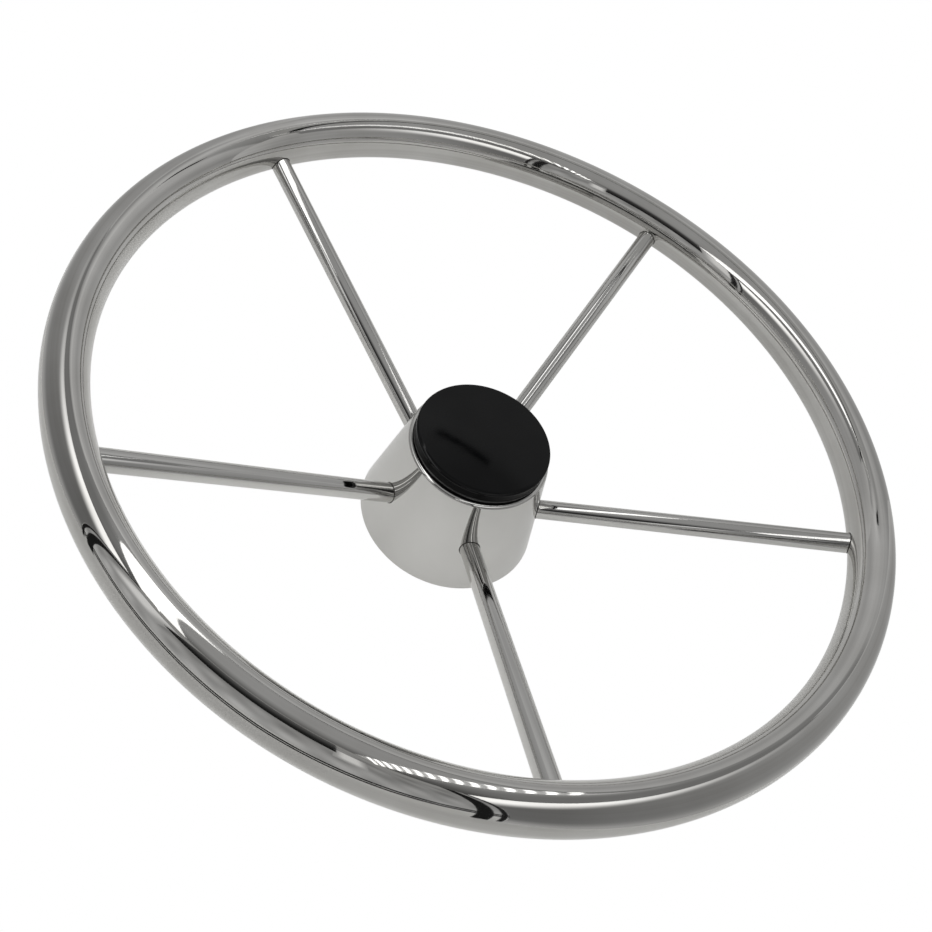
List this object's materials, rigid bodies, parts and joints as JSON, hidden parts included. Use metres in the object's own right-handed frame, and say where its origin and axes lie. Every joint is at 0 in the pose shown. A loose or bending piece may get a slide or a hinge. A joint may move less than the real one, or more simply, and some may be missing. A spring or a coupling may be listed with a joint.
{
  "type": "boat steering wheel",
  "caption": "Dished stainless boat steering wheel: oval tube rim, slim rod spokes, conical hub with keyed taper bore, shaft nut under a push-in black cap.",
  "frame": {"origin": "centre of the hub's back edge, which the wheel stands on", "axes": "+Z along the wheel's axis, towards the person steering; +Y along the first spoke"},
  "size_m": [0.3938, 0.3938, 0.1063],
  "materials": {
    "polished_steel": "mirror-polished stainless steel",
    "weld_steel": "dressed and buffed weld bead, stainless steel",
    "turned_steel": "turned stainless steel with fine tool marks",
    "cap_plastic": "moulded gloss black plastic",
    "ring_rubber": "matt black nitrile rubber"
  },
  "bodies": {
    "wheel": {"rim_tube": "polished_steel", "spoke_1": "polished_steel", "spoke_2": "polished_steel", "spoke_3": "polished_steel", "spoke_4": "polished_steel", "spoke_5": "polished_steel", "spoke_1_rim_weld": "weld_steel", "spoke_2_rim_weld": "weld_steel", "spoke_3_rim_weld": "weld_steel", "spoke_4_rim_weld": "weld_steel", "spoke_5_rim_weld": "weld_steel", "spoke_1_hub_weld": "weld_steel", "spoke_2_hub_weld": "weld_steel", "spoke_3_hub_weld": "weld_steel", "spoke_4_hub_weld": "weld_steel", "spoke_5_hub_weld": "weld_steel", "hub_shell": "polished_steel", "hub_web": "turned_steel", "hub_boss": "turned_steel", "web_weld": "weld_steel", "boss_weld": "weld_steel"},
    "washer": {"shaft_washer": "turned_steel"},
    "nut": {"shaft_nut": "turned_steel"},
    "cap": {"center_cap": "cap_plastic", "cap_o_ring": "ring_rubber"}
  },
  "joints": [
    {"name": "cap_pull", "type": "slide", "parent": "wheel", "child": "cap", "axis": [0, 0, 1], "range_m": [0, 0.03]},
    {"name": "nut_travel", "type": "slide", "parent": "wheel", "child": "washer", "axis": [0, 0, 1], "range_m": [0, 0.01412]},
    {"name": "nut_turn", "type": "hinge", "parent": "washer", "child": "nut", "pos_m": [0, 0, 0.04], "axis": [0, 0, 1], "range_deg": [0, 3600]}
  ],
  "couplings": [
    {"joint": "nut_travel", "follows": "nut_turn", "m_per_rad": 0.00022459}
  ]
}
